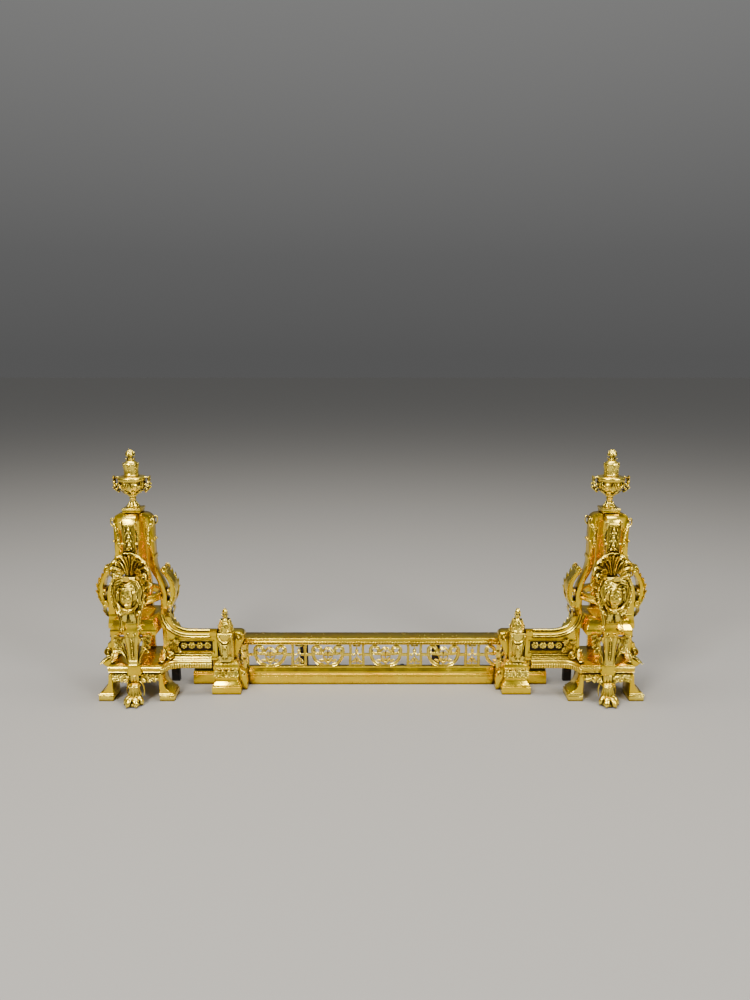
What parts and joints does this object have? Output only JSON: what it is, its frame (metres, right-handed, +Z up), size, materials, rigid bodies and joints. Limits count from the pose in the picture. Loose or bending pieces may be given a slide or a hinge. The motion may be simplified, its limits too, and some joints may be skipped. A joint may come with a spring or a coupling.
{
  "type": "andiron pair with sliding fender bar",
  "caption": "Pair of tall gilt andirons with urns, masks and lion paws, joined by a pierced fender bar that slides in guides on their end pedestals.",
  "frame": {"origin": "middle of the set's footprint on the floor", "axes": "+X along the bar towards the right andiron, +Y towards the fireplace (back), +Z up"},
  "size_m": [1.044, 0.1445, 0.473],
  "materials": {
    "gilt_bronze": "burnished gilding, warm yellow, soft mirror shine",
    "chased_gilt": "chased gilding, pale yellow, bright highlights over brown recesses",
    "black_iron": "matt black painted iron"
  },
  "bodies": {
    "fender_bar": {"bar_base": "gilt_bronze", "bar_frieze": "chased_gilt", "bar_top_plate": "gilt_bronze", "bar_slide_strip": "black_iron", "bar_stays": "black_iron", "bar_screws": "black_iron"},
    "left_andiron": {"left_platform": "gilt_bronze", "left_feet": "gilt_bronze", "left_lion_paw": "chased_gilt", "left_leaf_apron": "chased_gilt", "left_iron_frame": "black_iron", "left_front_gaine": "chased_gilt", "left_legs": "gilt_bronze", "left_cornice": "gilt_bronze", "left_front_console": "chased_gilt", "left_arm_consoles": "gilt_bronze", "left_ring_collar": "gilt_bronze", "left_mask": "chased_gilt", "left_shell_crest": "chased_gilt", "left_crown_plate": "gilt_bronze", "left_urn_foot": "chased_gilt", "left_urn_bowl": "chased_gilt", "left_urn_handles": "chased_gilt", "left_urn_lid": "chased_gilt", "left_tie_rod": "black_iron", "left_wing_panel": "gilt_bronze", "left_wing_rosettes": "chased_gilt", "left_outer_bracket": "gilt_bronze", "left_pedestal_base": "gilt_bronze", "left_pedestal_gaine": "chased_gilt", "left_pedestal_finial": "chased_gilt", "left_pier": "gilt_bronze", "left_bar_guide": "black_iron"},
    "right_andiron": {"right_platform": "gilt_bronze", "right_feet": "gilt_bronze", "right_lion_paw": "chased_gilt", "right_leaf_apron": "chased_gilt", "right_iron_frame": "black_iron", "right_front_gaine": "chased_gilt", "right_legs": "gilt_bronze", "right_cornice": "gilt_bronze", "right_front_console": "chased_gilt", "right_arm_consoles": "gilt_bronze", "right_ring_collar": "gilt_bronze", "right_mask": "chased_gilt", "right_shell_crest": "chased_gilt", "right_crown_plate": "gilt_bronze", "right_urn_foot": "chased_gilt", "right_urn_bowl": "chased_gilt", "right_urn_handles": "chased_gilt", "right_urn_lid": "chased_gilt", "right_tie_rod": "black_iron", "right_wing_panel": "gilt_bronze", "right_wing_rosettes": "chased_gilt", "right_outer_bracket": "gilt_bronze", "right_pedestal_base": "gilt_bronze", "right_pedestal_gaine": "chased_gilt", "right_pedestal_finial": "chased_gilt", "right_pier": "gilt_bronze", "right_bar_guide": "black_iron"}
  },
  "joints": [
    {"name": "left_andiron_slide", "type": "slide", "parent": "fender_bar", "child": "left_andiron", "axis": [-1, 0, 0], "range_m": [-0.028, 0.04]},
    {"name": "right_andiron_slide", "type": "slide", "parent": "fender_bar", "child": "right_andiron", "axis": [1, 0, 0], "range_m": [-0.028, 0.04]}
  ]
}
